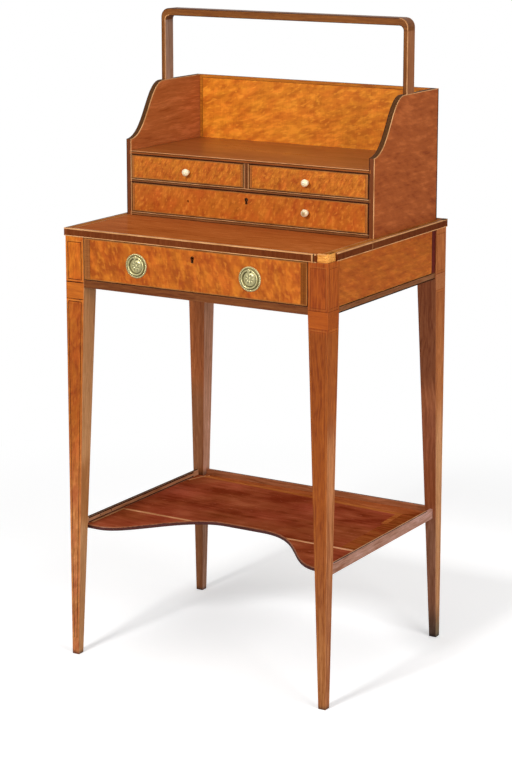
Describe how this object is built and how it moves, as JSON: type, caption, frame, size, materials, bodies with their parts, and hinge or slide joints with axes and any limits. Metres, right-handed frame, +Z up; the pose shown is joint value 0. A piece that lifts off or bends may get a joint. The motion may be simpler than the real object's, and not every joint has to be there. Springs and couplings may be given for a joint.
{
  "type": "bonheur du jour",
  "caption": "Small writing table on slender tapered legs, with a frieze drawer and undershelf, carrying a lift-off book stage with small drawers and a carrying handle.",
  "frame": {"origin": "centre of the table's footprint, on the floor", "axes": "+Z up, the drawers face -Y, +X is to the right of someone sitting at the table"},
  "size_m": [0.488, 0.4014, 1.056],
  "materials": {
    "satinwood": "figured veneer, french polished",
    "mahogany": "french polished",
    "rosewood": "polished cross-grained edging between pale lines",
    "oak": "bare planed wood",
    "brass": "stamped, old lacquer",
    "iron": "filed and aged",
    "bone": "turned and polished bone"
  },
  "bodies": {
    "table": {"apron_back": "satinwood", "apron_left": "satinwood", "apron_right": "satinwood", "drawer_runners": "oak", "edging_back": "rosewood", "edging_front": "rosewood", "edging_left": "rosewood", "edging_right": "rosewood", "front_rail_lower": "mahogany", "front_rail_upper": "oak", "leg_back_left": "mahogany", "leg_back_right": "mahogany", "leg_front_left": "mahogany", "leg_front_right": "mahogany", "shelf_rail_back": "mahogany", "shelf_rail_left": "mahogany", "shelf_rail_right": "mahogany", "table_top": "satinwood", "undershelf": "mahogany"},
    "stage": {"handle_bar": "mahogany", "handle_upright_left": "mahogany", "handle_upright_right": "mahogany", "locating_pegs": "mahogany", "stage_back": "satinwood", "stage_bottom": "oak", "stage_divider": "mahogany", "stage_dustboard": "oak", "stage_shelf": "mahogany", "stage_side_left": "mahogany", "stage_side_right": "mahogany"},
    "frieze_drawer": {"frieze_drawer_back": "oak", "frieze_drawer_bottom": "oak", "frieze_drawer_escutcheon": "brass", "frieze_drawer_front": "satinwood", "frieze_drawer_lock": "iron", "frieze_drawer_sides": "oak", "pull_plates": "brass", "pull_posts": "brass"},
    "frieze_bolt": {"frieze_drawer_bolt": "iron"},
    "left_ring": {"pull_ring_left": "brass"},
    "right_ring": {"pull_ring_right": "brass"},
    "left_drawer": {"left_drawer_back": "oak", "left_drawer_bottom": "oak", "left_drawer_front": "satinwood", "left_drawer_knob": "bone", "left_drawer_sides": "oak"},
    "right_drawer": {"right_drawer_back": "oak", "right_drawer_bottom": "oak", "right_drawer_front": "satinwood", "right_drawer_knob": "bone", "right_drawer_sides": "oak"},
    "long_drawer": {"long_drawer_back": "oak", "long_drawer_bottom": "oak", "long_drawer_escutcheon": "brass", "long_drawer_front": "satinwood", "long_drawer_knob": "bone", "long_drawer_lock": "iron", "long_drawer_sides": "oak"},
    "long_bolt": {"long_drawer_bolt": "iron"}
  },
  "joints": [
    {"name": "stage_lift", "type": "slide", "parent": "table", "child": "stage", "axis": [0, 0, 1], "range_m": [0, 0.06]},
    {"name": "frieze_drawer_slide", "type": "slide", "parent": "table", "child": "frieze_drawer", "axis": [0, -1, 0], "range_m": [0, 0.28]},
    {"name": "frieze_bolt_throw", "type": "slide", "parent": "frieze_drawer", "child": "frieze_bolt", "axis": [0, 0, 1], "range_m": [0, 0.005]},
    {"name": "left_ring_swing", "type": "hinge", "parent": "frieze_drawer", "child": "left_ring", "pos_m": [-0.105, -0.19985, 0.68488], "axis": [-1, 0, 0], "range_deg": [0, 90]},
    {"name": "right_ring_swing", "type": "hinge", "parent": "frieze_drawer", "child": "right_ring", "pos_m": [0.105, -0.19985, 0.68488], "axis": [-1, 0, 0], "range_deg": [0, 90]},
    {"name": "left_drawer_slide", "type": "slide", "parent": "stage", "child": "left_drawer", "axis": [0, -1, 0], "range_m": [0, 0.15]},
    {"name": "right_drawer_slide", "type": "slide", "parent": "stage", "child": "right_drawer", "axis": [0, -1, 0], "range_m": [0, 0.15]},
    {"name": "long_drawer_slide", "type": "slide", "parent": "stage", "child": "long_drawer", "axis": [0, -1, 0], "range_m": [0, 0.15]},
    {"name": "long_bolt_throw", "type": "slide", "parent": "long_drawer", "child": "long_bolt", "axis": [0, 0, 1], "range_m": [0, 0.004]}
  ]
}
